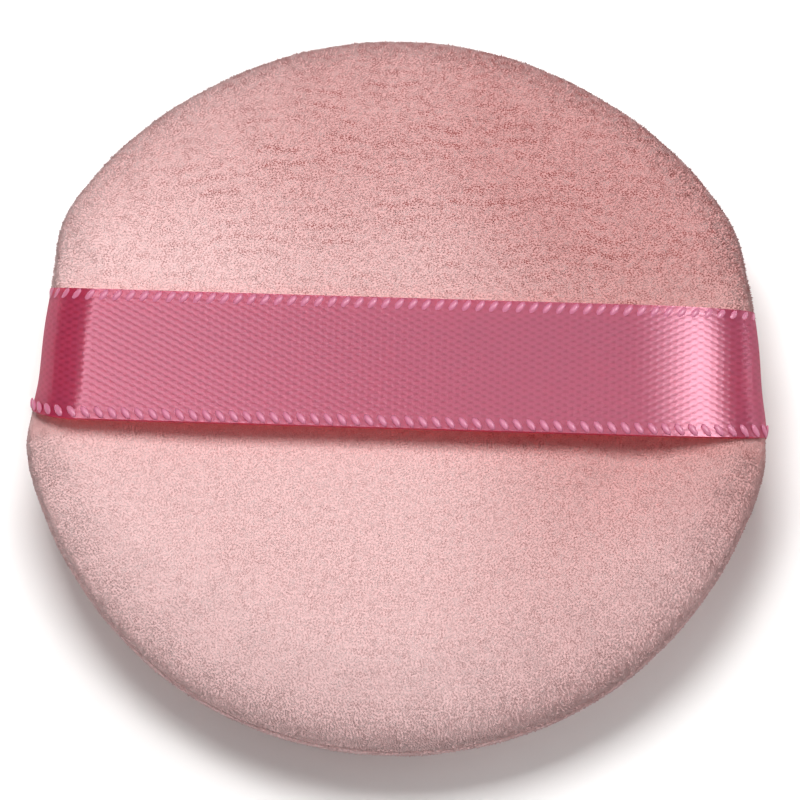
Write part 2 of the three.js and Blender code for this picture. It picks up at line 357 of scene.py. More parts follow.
# Painted shade: the speckle is darker where its bump is low, between the tufts.
shade = add_node(
    tree,
    "ShaderNodeMix",
    {0: speckle.outputs["Fac"], 6: colour("#f0ecec"), 7: colour("#ffffff")},
    data_type="RGBA",
)
shade = add_node(
    tree,
    "ShaderNodeMix",
    {0: 1.0, 6: tone.outputs[2], 7: shade.outputs[2]},
    data_type="RGBA",
    blend_type="MULTIPLY",
)
fuzz = add_node(
    tree,
    "ShaderNodeBump",
    {"Strength": 0.5, "Distance": 0.12 * MM, "Height": speckle.outputs["Fac"]},
)
surface = add_node(
    tree,
    "ShaderNodeBsdfPrincipled",
    {
        "Base Color": shade.outputs[2],
        "Roughness": 0.95,
        "Specular IOR Level": 0.1,
        "Sheen Weight": 0.5,
        "Sheen Roughness": 0.4,
        "Sheen Tint": colour("#f7dede"),
        "Normal": fuzz.outputs["Normal"],
    },
)
add_node(tree, "ShaderNodeOutputMaterial", {"Surface": surface.outputs["BSDF"]})

back_outside = pressed_out(dented(turned(cover_outside(), ROUND_STEPS)))
face_outside = pressed_out(turned(cover_outside(), ROUND_STEPS))
back_mesh = subdivided(round_mesh("back_velour", cover_rows(back_outside)), 1)
face_mesh = subdivided(flipped(round_mesh("face_velour", turned_over(cover_rows(face_outside)))), 1)
for mesh, node in ((back_mesh, "back_cover"), (face_mesh, "face_cover")):
    cover = piece(mesh.name, stored(mesh, "painted_shading", painted_shading), velour)
    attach(cover, "pad")
    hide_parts(node)


# Velour pile
# The cut ends of the velour's cotton loops, which stand up from its body all over both covers.
# They lean with the nap, gather in small clumps and part a little between the knitted courses at the back.
TUFT_SPACING = 0.14  # wider than real fibres, which are too fine to show
FACE_SPACING = 1.45 * TUFT_SPACING  # coarser on the face, which is seen less
TUFT_LENGTH = 0.065  # what shows of a tuft above the next ones
BRUSHED_LENGTH = 0.6 * TUFT_LENGTH  # on the front half and the face, where the pile is brushed flatter
TUFT_WIDTH = 0.23
COURSE_PITCH = 1.2
CLUMP_SIZE = 0.8
PATCH_SIZE = 0.5  # of lighter and darker pile


def parting(x, y):
    """Where the pile parts between courses, in broken wavy lines on the back half: their strength and phase."""
    wave = 0.35 * np.sin(0.31 * x + 1.3) + 0.2 * np.sin(0.83 * x + 0.2 * y) + 0.12 * np.sin(2.1 * x + 0.7 * y)
    broken = np.clip(0.5 + np.sin(0.37 * x + 0.9 * y) * np.sin(0.61 * x - 0.23 * y + 1), 0, 1)
    inner = 1 - np.clip((np.hypot(x, y) / PAD_RADIUS - 0.75) / 0.25, 0, 1)
    return np.clip((y - 1) / 9, 0, 1) * inner * broken, 2 * math.pi * (y + wave) / COURSE_PITCH


def nap(x, y):
    """How far the pile leans over: a little along the puff, outwards at the rim and apart between courses."""
    strength, phase = parting(x, y)
    rim = np.clip((np.hypot(x, y) / PAD_RADIUS - 0.75) / 0.25, 0, 1) * 0.35 / PAD_RADIUS
    along = -0.12 * (0.6 * x + 0.8 * y) / PAD_RADIUS
    return np.stack([along + rim * x, rim * y + 0.3 * strength * np.sin(phase), np.zeros_like(x)], -1)


def loft(x, y):
    """How high the pile stands: lower in the partings and where the ribbon presses it, fuller at the rim."""
    strength, phase = parting(x, y)
    reach = np.hypot(x, y) / PAD_RADIUS
    pressed = (np.abs(y) < 5.6) & (reach > 0.8)
    height = 1 - 0.3 * strength * (0.5 + 0.5 * np.cos(phase)) ** 4
    return height * (1 + eased((reach - 0.88) / 0.1)) * np.where(pressed, 0.4, 1.0)


def tuft_painted_shade(x, y):
    """How pale each tuft is painted: the painted light and shade of the cloth under it, and painted shade in the
    partings.
    """
    strength, phase = parting(x, y)
    return painted_shading(x, y) - 0.8 * strength * (0.5 + 0.5 * np.cos(phase)) ** 3


def new_tree(name, **sizes):
    """A Geometry Nodes tree with a geometry input and output, and a named input for each size."""
    tree = bpy.data.node_groups.new(name, "GeometryNodeTree")
    tree.interface.new_socket("Geometry", in_out="INPUT", socket_type="NodeSocketGeometry")
    tree.interface.new_socket("Geometry", in_out="OUTPUT", socket_type="NodeSocketGeometry")
    for size, value in sizes.items():
        kind = "NodeSocketInt" if isinstance(value, int) else "NodeSocketFloat"
        tree.interface.new_socket(size, in_out="INPUT", socket_type=kind).default_value = value
    return tree, add_node(tree, "NodeGroupInput")


def grown(name, base, tree, **sizes):
    """What a Geometry Nodes tree makes of a base mesh, as a plain mesh."""
    holder = piece(name, base)
    modifier = holder.modifiers.new(name, "NODES")
    modifier.node_group = tree
    for socket in tree.interface.items_tree:
        if socket.in_out == "INPUT" and socket.name in sizes:
            modifier[socket.identifier] = sizes[socket.name]
    depsgraph = bpy.context.evaluated_depsgraph_get()
    mesh = bpy.data.meshes.new_from_object(holder.evaluated_get(depsgraph), depsgraph=depsgraph)
    bpy.data.objects.remove(holder)
    mesh.name = name
    return mesh


# The same cotton as the covers: each tuft is a little lighter or darker than the next and carries the painted
# light and shade of the cloth under it, and light passes through it.
# A tuft is a sheaf of soft fibres, so it takes the light more like the cloth under it than like a hard cone.
tufts, tree = new_material("cotton_pile")
each = add_node(tree, "ShaderNodeAttribute", attribute_name="tuft")
tone = add_node(
    tree,
    "ShaderNodeMix",
    {0: each.outputs["Fac"], 6: colour("#b56f6c"), 7: colour("#f7e0df")},
    data_type="RGBA",
)
side = add_node(tree, "ShaderNodeNewGeometry")
under = add_node(tree, "ShaderNodeAttribute", attribute_name="cloth")
soft = add_node(
    tree,
    "ShaderNodeMix",
    {0: 0.9, 4: side.outputs["Normal"], 5: under.outputs["Vector"]},
    data_type="VECTOR",
)
soft = add_node(tree, "ShaderNodeVectorMath", {0: soft.outputs[1]}, operation="NORMALIZE")
surface = add_node(
    tree,
    "ShaderNodeBsdfPrincipled",
    {
        "Base Color": tone.outputs[2],
        "Roughness": 1.0,
        "Specular IOR Level": 0.05,
        "Sheen Weight": 0.3,
        "Sheen Roughness": 0.5,
        "Sheen Tint": colour("#f9e6e6"),
        "Normal": soft.outputs["Vector"],
    },
)
through = add_node(tree, "ShaderNodeBsdfTranslucent", {"Color": tone.outputs[2]})
cotton = add_node(tree, "ShaderNodeMixShader", {0: 0.4, 1: surface.outputs["BSDF"], 2: through.outputs["BSDF"]})
add_node(tree, "ShaderNodeOutputMaterial", {"Surface": cotton.outputs["Shader"]})

tree, group = new_tree("pile", Spacing=0.2, Length=0.4, Width=0.1, Stray=0.3, Clump=0.3, Mottle=0.5, Half=0, Seed=1)
place = add_node(tree, "GeometryNodeInputPosition")
axes = add_node(tree, "ShaderNodeSeparateXYZ", {"Vector": place.outputs["Position"]})
ahead = add_node(tree, "ShaderNodeMath", {0: axes.outputs["Y"], 1: group.outputs["Half"]}, operation="MULTIPLY")
ahead = add_node(tree, "FunctionNodeCompare", {0: ahead.outputs[0], 1: 0.0}, operation="GREATER_EQUAL")
dense = add_node(tree, "ShaderNodeMath", {0: group.outputs["Spacing"], 1: -2.0}, operation="POWER")
dense = add_node(tree, "ShaderNodeMath", {0: dense.outputs[0], 1: 3.0}, operation="MULTIPLY")
scatter = add_node(
    tree,
    "GeometryNodeDistributePointsOnFaces",
    {
        "Mesh": group.outputs["Geometry"],
        "Selection": ahead.outputs["Result"],
        "Distance Min": group.outputs["Spacing"],
        "Density Max": dense.outputs[0],
        "Seed": group.outputs["Seed"],
    },
    distribute_method="POISSON",
)
lean = add_node(tree, "GeometryNodeInputNamedAttribute", {"Name": "nap"}, data_type="FLOAT_VECTOR")
clump = add_node(
    tree,
    "ShaderNodeTexNoise",
    {"Vector": place.outputs["Position"], "Scale": 1 / (CLUMP_SIZE * MM), "Detail": 1.0},
)
gather = add_node(tree, "ShaderNodeVectorMath", {0: clump.outputs["Color"], 1: (0.5, 0.5, 0.5)}, operation="SUBTRACT")
gather = add_node(
    tree, "ShaderNodeVectorMath", {0: gather.outputs["Vector"], "Scale": group.outputs["Clump"]}, operation="SCALE"
)
stray = add_node(
    tree,
    "FunctionNodeRandomValue",
    {0: (-1, -1, -1), 1: (1, 1, 1), "Seed": group.outputs["Seed"]},
    data_type="FLOAT_VECTOR",
)
stray = add_node(
    tree, "ShaderNodeVectorMath", {0: stray.outputs["Value"], "Scale": group.outputs["Stray"]}, operation="SCALE"
)
along = scatter.outputs["Normal"]
for pull in (lean.outputs["Attribute"], gather.outputs["Vector"], stray.outputs["Vector"]):
    along = add_node(tree, "ShaderNodeVectorMath", {0: along, 1: pull}, operation="ADD").outputs["Vector"]
stand = add_node(tree, "FunctionNodeAlignRotationToVector", {"Vector": along}, axis="Z")
cut = add_node(tree, "FunctionNodeRandomValue", {2: 0.0, 3: 1.0, "Seed": group.outputs["Seed"]}, data_type="FLOAT")
cut = add_node(tree, "ShaderNodeMath", {0: cut.outputs[1], 1: 8.0}, operation="POWER")
cut = add_node(tree, "ShaderNodeMapRange", {0: cut.outputs[0], 1: 0.0, 2: 1.0, 3: 0.85, 4: 1.7})
full = add_node(tree, "GeometryNodeInputNamedAttribute", {"Name": "loft"}, data_type="FLOAT")
height = group.outputs["Length"]
for part in (cut.outputs[0], full.outputs["Attribute"]):
    height = add_node(tree, "ShaderNodeMath", {0: height, 1: part}, operation="MULTIPLY").outputs[0]
size = add_node(
    tree,
    "ShaderNodeCombineXYZ",
    {"X": group.outputs["Width"], "Y": group.outputs["Width"], "Z": height},
)
tuft = add_node(
    tree,
    "GeometryNodeMeshCone",
    {"Vertices": 3, "Radius Top": 0.0, "Radius Bottom": 0.5, "Depth": 1.0},
    fill_type="NGON",
)
placed = add_node(
    tree,
    "GeometryNodeInstanceOnPoints",
    {
        "Points": scatter.outputs["Points"],
        "Instance": tuft.outputs["Mesh"],
        "Rotation": stand.outputs["Rotation"],
        "Scale": size.outputs["Vector"],
    },
)
pale = add_node(tree, "GeometryNodeInputNamedAttribute", {"Name": "tuft_painted_shade"}, data_type="FLOAT")
mark = add_node(tree, "FunctionNodeRandomValue", {2: 0.0, 3: 1.0}, data_type="FLOAT")
patch = add_node(
    tree,
    "ShaderNodeTexNoise",
    {"Vector": place.outputs["Position"], "Scale": 1 / (PATCH_SIZE * MM), "Detail": 1.0},
)
patch = add_node(tree, "ShaderNodeMapRange", {0: patch.outputs["Fac"], 1: 0.3, 2: 0.7, 3: 0.0, 4: 1.0})
mark = add_node(tree, "ShaderNodeMix", {0: 0.9, 2: mark.outputs[1], 3: patch.outputs[0]}, data_type="FLOAT")
mark = add_node(
    tree, "ShaderNodeMix", {0: group.outputs["Mottle"], 2: 0.5, 3: mark.outputs[0]}, data_type="FLOAT"
)
# Painted light and shade: the tuft's tone follows the painted shading stored on the cloth under it.
mark = add_node(tree, "ShaderNodeMix", {0: 0.45, 2: mark.outputs[0], 3: pale.outputs["Attribute"]}, data_type="FLOAT")
shape = placed.outputs["Instances"]
for name, value, kind in (("tuft", mark.outputs[0], "FLOAT"), ("cloth", scatter.outputs["Normal"], "FLOAT_VECTOR")):
    kept = add_node(
        tree,
        "GeometryNodeStoreNamedAttribute",
        {"Geometry": shape, "Name": name},
        data_type=kind,
        domain="INSTANCE",
    )
    tree.links.new(value, kept.inputs["Value"])
    shape = kept.outputs["Geometry"]
solid = add_node(tree, "GeometryNodeRealizeInstances", {"Geometry": shape})
dyed = add_node(tree, "GeometryNodeSetMaterial", {"Geometry": solid.outputs["Geometry"], "Material": tufts})
add_node(tree, "NodeGroupOutput", {"Geometry": dyed.outputs["Geometry"]})
pile_tree = tree

back_base = subdivided(round_mesh("back_base", back_outside, closed=False), 2)
face_base = subdivided(flipped(round_mesh("face_base", turned_over(face_outside), closed=False)), 1)
for base in (back_base, face_base):
    for field, value_of in (("nap", nap), ("loft", loft), ("tuft_painted_shade", tuft_painted_shade)):
        stored(base, field, value_of)
for name, base, spacing, half, seed, length, mottle in (
    ("back_pile_rear", back_base, TUFT_SPACING, 1, 3, TUFT_LENGTH, 0.85),
    ("back_pile_front", back_base, TUFT_SPACING, -1, 5, BRUSHED_LENGTH, 0.65),
    ("face_pile", face_base, FACE_SPACING, 0, 8, BRUSHED_LENGTH, 0.65),
):
    mesh = grown(
        name,
        base,
        pile_tree,
        Spacing=spacing * MM,
        Length=length * MM,
        Width=TUFT_WIDTH * MM * spacing / TUFT_SPACING,
        Stray=0.15,
        Clump=0.25,
        Mottle=mottle,
        Half=half,
        Seed=seed,
    )
    pile = piece(name, mesh)
    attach(pile, "pad")
for base in (back_base, face_base):
    bpy.data.meshes.remove(base)


# Finger ribbon
# One strip of rose polyester satin ribbon, laid across the back and caught in the edge seam at both ends.
# It is taut, so it runs straight over the bowed puff, and its front edge stands off for fingertips to slide under.
FLAT_WIDTH = 10.2
RIBBON_COLUMNS = 29
RIBBON_HALF = 0.15  # half its thickness
RIBBON_SHOULDER = {-1: 3.4, 1: 9.0}  # how far in from the edge the ribbon levels out
RIBBON_BEND = 1.0
RIBBON_TOP = 6.775  # above the seam plane
RIBBON_TILT = 0.06  # the front edge stands higher than the rear one
RIBBON_CLEAR = -0.05  # at its ends it presses into the pile
END_SHIFT = {-1: (1.2, 1.9), 1: (0.8, 1.3)}  # how far back each end is sewn in, at its rear and its front edge
TAB_END = 22.4
MIDDLE = 5.0  # half the length that lifts straight up
SIDE_MATERIALS = [0, 1, 0, 0, 2, 2]  # of the upper face, the under face, the two edges and the two ends


def ribbon_line(side, y):
    """The ribbon's middle thickness at one place across its width, from its middle to its sewn end at +X."""
    end_shift = np.interp(-y, [-FLAT_WIDTH / 2, FLAT_WIDTH / 2], END_SHIFT[side])
    sewn = y + end_shift
    edge = side * drawn_in(np.array([side * math.sqrt(PAD_RADIUS**2 - sewn**2)]), np.array([sewn]))[0]
    reach = edge + RIBBON_CLEAR + RIBBON_HALF
    top = RIBBON_TOP - RIBBON_TILT * y
    foot = RIBBON_BEND + bowed_up(np.array([reach]))[0]
    straight = reach - RIBBON_SHOULDER[side]
    level = np.stack([np.linspace(0, straight, 40, endpoint=False), np.full(40, top)], -1)
    angle = np.linspace(math.pi / 2, 0, 60)
    bow = np.stack([straight + RIBBON_SHOULDER[side] * np.cos(angle), foot + (top - foot) * np.sin(angle)], -1)
    angle = np.linspace(0, -math.pi / 2, 10)[1:]
    turn = np.stack([np.cos(angle), np.sin(angle)], -1) * RIBBON_BEND + (reach - RIBBON_BEND, foot)
    across = np.linspace(reach - RIBBON_BEND, TAB_END, 8)[1:]
    tab = np.stack([across, turn[-1][1] + bowed_up(across) - bowed_up(reach - RIBBON_BEND)], -1)
    x, z = np.concatenate([level, bow, turn, tab]).T
    return np.stack([x, y + end_shift * np.clip((top - z) / (top - foot), 0, 1), z], -1)


def resampled(line, distances):
    """Points of a line at given lengths along it, and the unit normal of the ribbon there."""
    along = np.concatenate([[0], np.cumsum(np.linalg.norm(np.diff(line, axis=0), axis=1))])
    points = np.stack([np.interp(distances, along, line[:, k]) for k in range(3)], -1)
    slope = np.gradient(line, along, axis=0)
    x, _, z = (np.interp(distances, along, slope[:, k]) for k in range(3))
    return points, np.stack([-z, np.zeros_like(x), x], -1) / np.hypot(x, z)[:, None]


def ribbon_grid():
    """The ribbon's upper and lower face as points (face, column, row, xyz), with the length along it at each row."""
    columns = np.linspace(-FLAT_WIDTH / 2, FLAT_WIDTH / 2, RIBBON_COLUMNS)
    level = np.linspace(-MIDDLE, MIDDLE, 26)
    outward = np.linspace(0, 1, 110)[1:]
    faces, lengths = [], []
    for y in columns:
        halves, run = {}, {}
        for side in (-1, 1):
            line = ribbon_line(side, y)
            total = np.linalg.norm(np.diff(line, axis=0), axis=1).sum()
            run[side] = MIDDLE + (total - MIDDLE) * outward
            points, normal = resampled(line, run[side])
            halves[side] = (points * (side, 1, 1), normal * (side, 1, 1))
        flat = np.stack([level, np.full_like(level, y), np.full_like(level, ribbon_line(1, y)[0][2])], -1)
        points = np.concatenate([halves[-1][0][::-1], flat, halves[1][0]])
        normal = np.concatenate([halves[-1][1][::-1], np.tile((0.0, 0.0, 1.0), (len(level), 1)), halves[1][1]])
        faces.append([points + sign * RIBBON_HALF * normal + (0, 0, SEAM_HEIGHT) for sign in (1, -1)])
        lengths.append(np.concatenate([-run[-1][::-1], level, run[1]]))
    return np.array(faces).swapaxes(0, 1), np.array(lengths), columns, len(outward), len(level)


def ribbon_mesh(name, first, last):
    """A length of the ribbon between two rows of its grid, as a closed thin solid with its UV map in centimetres."""
    grid, lengths, columns, _, _ = RIBBON_GRID
    grid, lengths = grid[:, :, first:last], lengths[:, first:last]
    top, under = np.arange(grid[..., 0].size).reshape(grid.shape[:3])
    quads = [
        np.stack([top[:-1, :-1], top[:-1, 1:], top[1:, 1:], top[1:, :-1]], -1),
        np.stack([under[:-1, :-1], under[1:, :-1], under[1:, 1:], under[:-1, 1:]], -1),
        np.stack([top[0, :-1], under[0, :-1], under[0, 1:], top[0, 1:]], -1),
        np.stack([top[-1, :-1], top[-1, 1:], under[-1, 1:], under[-1, :-1]], -1),
        np.stack([top[:-1, 0], top[1:, 0], under[1:, 0], under[:-1, 0]], -1),
        np.stack([top[:-1, -1], under[:-1, -1], under[1:, -1], top[1:, -1]], -1),
    ]
    materials = np.repeat(SIDE_MATERIALS, [q.size // 4 for q in quads])
    quads = np.concatenate([q.reshape(-1, 4) for q in quads])
    mesh = bpy.data.meshes.new(name)
    mesh.from_pydata((grid.reshape(-1, 3) * MM).tolist(), [], quads.tolist())
    mesh.polygons.foreach_set("material_index", materials.astype(np.int32))
    across = np.broadcast_to(columns[None, :, None], grid.shape[:3]).ravel()
    along = np.broadcast_to(lengths[None], grid.shape[:3]).ravel()
    corner = np.zeros(len(mesh.loops), np.int32)
    mesh.loops.foreach_get("vertex_index", corner)
    flat = np.stack([along[corner], across[corner]], -1) / 10
    mesh.uv_layers.new(name="weave").data.foreach_set("uv", flat.astype(np.float32).ravel())
    mesh.shade_smooth()
    mesh.set_sharp_from_angle(angle=math.radians(50))
    return mesh


# Polyester satin: long warp floats lie side by side, so the face has a soft gloss that runs along the ribbon.
# Where each float dives under it leaves a small dark eyelet, staggered 0.97 mm by 0.53 mm.
satin, tree = new_material("polyester_satin")
weave = add_node(tree, "ShaderNodeUVMap", uv_map="weave")
axes = add_node(tree, "ShaderNodeSeparateXYZ", {"Vector": weave.outputs["UV"]})
eyelet = None
for axis, repeat in (("X", 0.97), ("Y", 0.53)):
    phase = add_node(tree, "ShaderNodeMath", {0: axes.outputs[axis], 1: 20 * math.pi / repeat}, operation="MULTIPLY")
    wave = add_node(tree, "ShaderNodeMath", {0: phase.outputs[0]}, operation="COSINE").outputs[0]
    eyelet = wave if eyelet is None else add_node(tree, "ShaderNodeMath", {0: eyelet, 1: wave}, operation="MULTIPLY")
eyelet = add_node(tree, "ShaderNodeMapRange", {0: eyelet.outputs[0], 1: -0.3, 2: 1.0, 3: 0.0, 4: 1.0})
grain = add_node(
    tree,
    "ShaderNodeBump",
    {"Strength": 0.5, "Distance": 0.02 * MM, "Height": eyelet.outputs[0]},
    invert=True,
)
tone = add_node(
    tree,
    "ShaderNodeMix",
    {0: eyelet.outputs[0], 6: colour("#9e3f6a"), 7: colour("#70214a")},
    data_type="RGBA",
)
from_middle = add_node(tree, "ShaderNodeMath", {0: axes.outputs["Y"]}, operation="ABSOLUTE")
border = add_node(tree, "ShaderNodeMapRange", {0: from_middle.outputs[0], 1: 0.41, 2: 0.45, 3: 0.0, 4: 0.8})
tone = add_node(
    tree,
    "ShaderNodeMix",
    {0: border.outputs[0], 6: tone.outputs[2], 7: colour("#8e2656")},
    data_type="RGBA",
)
lengthwise = add_node(tree, "ShaderNodeTangent", direction_type="UV_MAP", uv_map="weave")
surface = add_node(
    tree,
    "ShaderNodeBsdfPrincipled",
    {
        "Base Color": tone.outputs[2],
        "Roughness": 0.5,
        "Specular IOR Level": 0.27,
        "Sheen Weight": 0.13,
        "Sheen Tint": colour("#f3b8ca"),
        "Normal": grain.outputs["Normal"],
    },
)
gloss = add_node(
    tree,
    "ShaderNodeBsdfAnisotropic",
    {
        "Color": colour("#fbc0d4"),
        "Roughness": 0.33,
        "Anisotropy": 0.3,
        "Tangent": lengthwise.outputs["Tangent"],
        "Normal": grain.outputs["Normal"],
    },
)
shine = add_node(tree, "ShaderNodeMixShader", {0: 0.205, 1: surface.outputs["BSDF"], 2: gloss.outputs["BSDF"]})
# Light goes through the upper and the lower face in turn, so each takes out only part of the colour.
glow = add_node(tree, "ShaderNodeBsdfTranslucent", {"Color": colour("#fb6a7a")})
cloth = add_node(tree, "ShaderNodeMixShader", {0: 0.5, 1: shine.outputs["Shader"], 2: glow.outputs["BSDF"]})
add_node(tree, "ShaderNodeOutputMaterial", {"Surface": cloth.outputs["Shader"]})

# The back of the satin is matt, and most of the light that reaches it goes through and falls red on the velour.
# In bright light much more goes through than translucency gives here, so the outside of this face adds a faint glow.
satin_back, tree = new_material("polyester_satin_back")
surface = add_node(tree, "ShaderNodeBsdfPrincipled", {"Base Color": colour("#ac3d66"), "Roughness": 0.8})
glow = add_node(tree, "ShaderNodeBsdfTranslucent", {"Color": colour("#ff949f")})
cloth = add_node(tree, "ShaderNodeMixShader", {0: 0.7, 1: surface.outputs["BSDF"], 2: glow.outputs["BSDF"]})
light = add_node(tree, "ShaderNodeEmission", {"Color": colour("#ff4a58"), "Strength": 0.25})
lit = add_node(tree, "ShaderNodeAddShader", {0: cloth.outputs["Shader"], 1: light.outputs["Emission"]})
side = add_node(tree, "ShaderNodeNewGeometry")
cloth = add_node(
    tree,
    "ShaderNodeMixShader",
    {0: side.outputs["Backfacing"], 1: lit.outputs["Shader"], 2: cloth.outputs["Shader"]},
)
add_node(tree, "ShaderNodeOutputMaterial", {"Surface": cloth.outputs["Shader"]})

# The ribbon's three lengths are one strip, so light goes on from one to the next through the ends where they meet.
satin_end, tree = new_material("polyester_satin_end")
surface = add_node(tree, "ShaderNodeBsdfPrincipled", {"Base Color": colour("#ac3d66"), "Roughness": 0.8})
clear = add_node(tree, "ShaderNodeBsdfTransparent")
cloth = add_node(tree, "ShaderNodeMixShader", {0: 0.98, 1: surface.outputs["BSDF"], 2: clear.outputs["BSDF"]})
add_node(tree, "ShaderNodeOutputMaterial", {"Surface": cloth.outputs["Shader"]})

RIBBON_GRID = ribbon_grid()
outer_rows, level_rows = RIBBON_GRID[3:]
row_count = 2 * outer_rows + level_rows
BANDS = {
    "ribbon_left": (0, outer_rows + 1, -1, ["ribbon_left_end", "ribbon_left_run"]),
    "ribbon_band": (outer_rows, row_count - outer_rows, 0, ["ribbon_middle"]),
    "ribbon_right": (row_count - outer_rows - 1, row_count, 1, ["ribbon_right_run", "ribbon_right_end"]),
}


def on_ribbon(made, side):
    """A piece of the ribbon goes with it: the middle goes on the ribbon's centre body and lifts with it,
    and each side keeps its place, baked into its mesh.
    """
    if side == 0:
        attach(made, "ribbon_centre")
    else:
        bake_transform(made)


for name, (first, last, side, nodes) in BANDS.items():
    band = piece(name, ribbon_mesh(name, first, last), satin, satin_back, satin_end)
    on_ribbon(band, side)
    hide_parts(*nodes)


# Ribbon selvedges
# The weft yarn turns back at each edge of the ribbon and leaves a row of small slanted loops there.
# They are woven in one with the ribbon, so they move with it.
LOOP_PITCH = 0.97
LOOP_LENGTH = 1.1
LOOP_WIDTH = 0.52
LOOP_THICKNESS = 0.26
LOOP_INSET = 0.5  # from the edge of the ribbon to the middle of a loop
LOOP_SLANT = 0.7  # how far a loop runs along the edge for its way across it


def loop_places(name, first, last):
    """Points along both edges of a length of ribbon, one for each loop, with its direction and the way up."""
    grid, lengths = RIBBON_GRID[:2]
    places, ways, ups = [], [], []
    for edge, inward in ((0, 1), (-1, -1)):
        along = lengths[edge]
        steps = np.arange(math.ceil(along[first] / LOOP_PITCH), math.ceil(along[last - 1] / LOOP_PITCH)) * LOOP_PITCH
        top, under = ([np.interp(steps, along, face[edge][:, k]) for k in range(3)] for face in grid)
        top, under = np.array(top).T, np.array(under).T
        ahead = np.stack([np.interp(steps + 0.1, along, grid[0][edge][:, k]) for k in range(3)], -1) - top
        ahead /= np.linalg.norm(ahead, axis=1)[:, None]
        up = (top - under) / (2 * RIBBON_HALF)
        places.append(top + (0, inward * LOOP_INSET, 0))
        ways.append(np.array((0, -1.0, 0)) + inward * LOOP_SLANT * ahead)
        ups.append(up)
    mesh = bpy.data.meshes.new(name)
    mesh.from_pydata((np.concatenate(places) * MM).tolist(), [], [])
    for field, values in (("way", ways), ("up", ups)):
        kept = mesh.attributes.new(field, "FLOAT_VECTOR", "POINT")
        kept.data.foreach_set("vector", np.concatenate(values).astype(np.float32).ravel())
    return mesh


# The same polyester yarn seen side on: glossier than the woven face, and painted lighter as sheen.
yarn, tree = new_material("polyester_yarn")
surface = add_node(
    tree,
    "ShaderNodeBsdfPrincipled",
    {
        # A lighter base colour than the woven face, as painted sheen.
        "Base Color": colour("#d97f9f"),
        "Roughness": 0.32,
        "Specular IOR Level": 0.6,
        "Sheen Weight": 0.2,
        "Sheen Tint": colour("#f3b8ca"),
    },
)
glow = add_node(tree, "ShaderNodeBsdfTranslucent", {"Color": colour("#e0708f")})
strand = add_node(tree, "ShaderNodeMixShader", {0: 0.25, 1: surface.outputs["BSDF"], 2: glow.outputs["BSDF"]})
add_node(tree, "ShaderNodeOutputMaterial", {"Surface": strand.outputs["Shader"]})

tree, group = new_tree("selvedge", Length=0.8, Width=0.4, Thickness=0.4)
way = add_node(tree, "GeometryNodeInputNamedAttribute", {"Name": "way"}, data_type="FLOAT_VECTOR")
up = add_node(tree, "GeometryNodeInputNamedAttribute", {"Name": "up"}, data_type="FLOAT_VECTOR")
lie = add_node(
    tree,
    "FunctionNodeAxesToRotation",
    {0: up.outputs["Attribute"], 1: way.outputs["Attribute"]},
    primary_axis="Z",
    secondary_axis="X",
)
size = add_node(
    tree,
    "ShaderNodeCombineXYZ",
    {"X": group.outputs["Length"], "Y": group.outputs["Width"], "Z": group.outputs["Thickness"]},
)
loop = add_node(tree, "GeometryNodeMeshUVSphere", {"Segments": 8, "Rings": 6, "Radius": 0.5})
smooth = add_node(tree, "GeometryNodeSetShadeSmooth", {"Geometry": loop.outputs["Mesh"]})
placed = add_node(
    tree,
    "GeometryNodeInstanceOnPoints",
    {
        "Points": group.outputs["Geometry"],
        "Instance": smooth.outputs["Geometry"],
        "Rotation": lie.outputs["Rotation"],
        "Scale": size.outputs["Vector"],
    },
)
solid = add_node(tree, "GeometryNodeRealizeInstances", {"Geometry": placed.outputs["Instances"]})
dyed = add_node(tree, "GeometryNodeSetMaterial", {"Geometry": solid.outputs["Geometry"], "Material": yarn})
add_node(tree, "NodeGroupOutput", {"Geometry": dyed.outputs["Geometry"]})

for name, (first, last, side, _) in BANDS.items():
    name = name.replace("ribbon", "selvedge")
    places = loop_places(name + "_places", first, last)
    mesh = grown(
        name,
        places,
        tree,
        Length=LOOP_LENGTH * MM,
        Width=LOOP_WIDTH * MM,
        Thickness=LOOP_THICKNESS * MM,
    )
    bpy.data.meshes.remove(places)
    on_ribbon(piece(name, mesh), side)


# Seam threads
# Spun polyester sewing thread: a lockstitch of a needle and a bobbin thread holds the hems and the ribbon's ends,
# and five hand stitches at the back close the gap through which the puff was turned.
THREAD_RADIUS = 0.15
THREAD_LEVEL = 1.3
THREAD_HOOK = 0.25
CLOSING_COUNT = 5
PITCH = 2 * math.pi / STITCH_COUNT


def around(angle, radius, height):
    """A point at an angle round the puff, at a height over the seam."""
    y = radius * math.sin(angle)
    x = drawn_in(np.array([radius * math.cos(angle)]), np.array([y]))
    return (x[0], y, SEAM_HEIGHT + height + bowed_up(x)[0])


def hole(k):
    """The angle of a needle hole."""
    return math.pi / 2 + (k - (CLOSING_COUNT - 1) / 2) * PITCH


def lockstitch(side):
    """One thread of the lockstitch, on its own hem and down into each hole round the other thread."""
    points = [around(hole(CLOSING_COUNT) - 0.3 * PITCH, STITCH_RADIUS, side * THREAD_LEVEL)]
    turn = THREAD_HOOK / STITCH_RADIUS
    for k in range(CLOSING_COUNT, STITCH_COUNT):
        points += [
            around(hole(k) - 2 * turn, STITCH_RADIUS - side * THREAD_HOOK, side * THREAD_LEVEL),
            around(hole(k) - turn, STITCH_RADIUS - side * THREAD_HOOK, 0),
            around(hole(k), STITCH_RADIUS, -side * THREAD_HOOK),
            around(hole(k) + turn, STITCH_RADIUS + side * THREAD_HOOK, 0),
            around(hole(k) + 2 * turn, STITCH_RADIUS + side * THREAD_HOOK, side * THREAD_LEVEL),
        ]
    return points + [around(hole(STITCH_COUNT - 1) + 0.3 * PITCH, STITCH_RADIUS, side * THREAD_LEVEL)]


